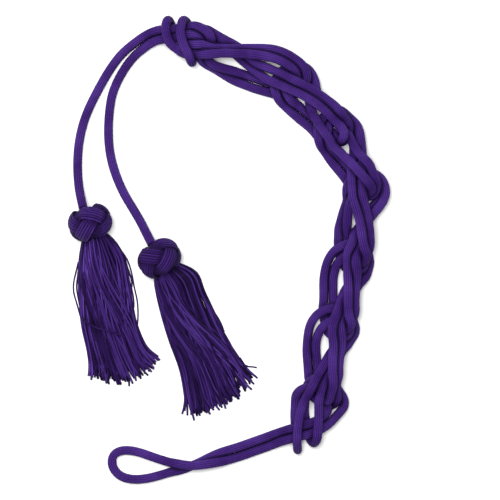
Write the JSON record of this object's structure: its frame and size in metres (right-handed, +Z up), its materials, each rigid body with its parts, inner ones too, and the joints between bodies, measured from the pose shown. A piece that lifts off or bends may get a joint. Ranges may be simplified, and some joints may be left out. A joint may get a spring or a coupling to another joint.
{
  "type": "cincture cord",
  "caption": "Long knitted waist cord, doubled and chained on itself, with a woven ball knot and a string fringe on each end.",
  "frame": {"origin": "on the surface that it lies on, under the middle of its box", "axes": "+Z up from the surface, +Y along the longer side of the laid-out cord, towards the end where the tails leave the chain"},
  "size_m": [0.2884, 0.4206, 0.0336],
  "materials": {
    "knit_cord": "matte knit tube of fine violet yarn",
    "knot_cord": "soft sheen, thin twisted violet cord",
    "fringe_string": "silky violet strings"
  },
  "bodies": {
    "root": {"left_tail": "knit_cord", "left_band": "knit_cord", "inner_link_1": "knit_cord", "inner_link_2": "knit_cord", "inner_link_3": "knit_cord", "inner_link_4": "knit_cord", "inner_link_5": "knit_cord", "inner_link_6": "knit_cord", "inner_link_7": "knit_cord", "lower_run": "knit_cord", "upper_run": "knit_cord", "outer_link_7": "knit_cord", "outer_link_6": "knit_cord", "outer_link_5": "knit_cord", "outer_link_4": "knit_cord", "outer_link_3": "knit_cord", "outer_link_2": "knit_cord", "outer_link_1": "knit_cord", "right_band": "knit_cord", "right_tail": "knit_cord", "left_knot": "knot_cord", "left_fringe": "fringe_string", "right_knot": "knot_cord", "right_fringe": "fringe_string"}
  },
  "joints": []
}
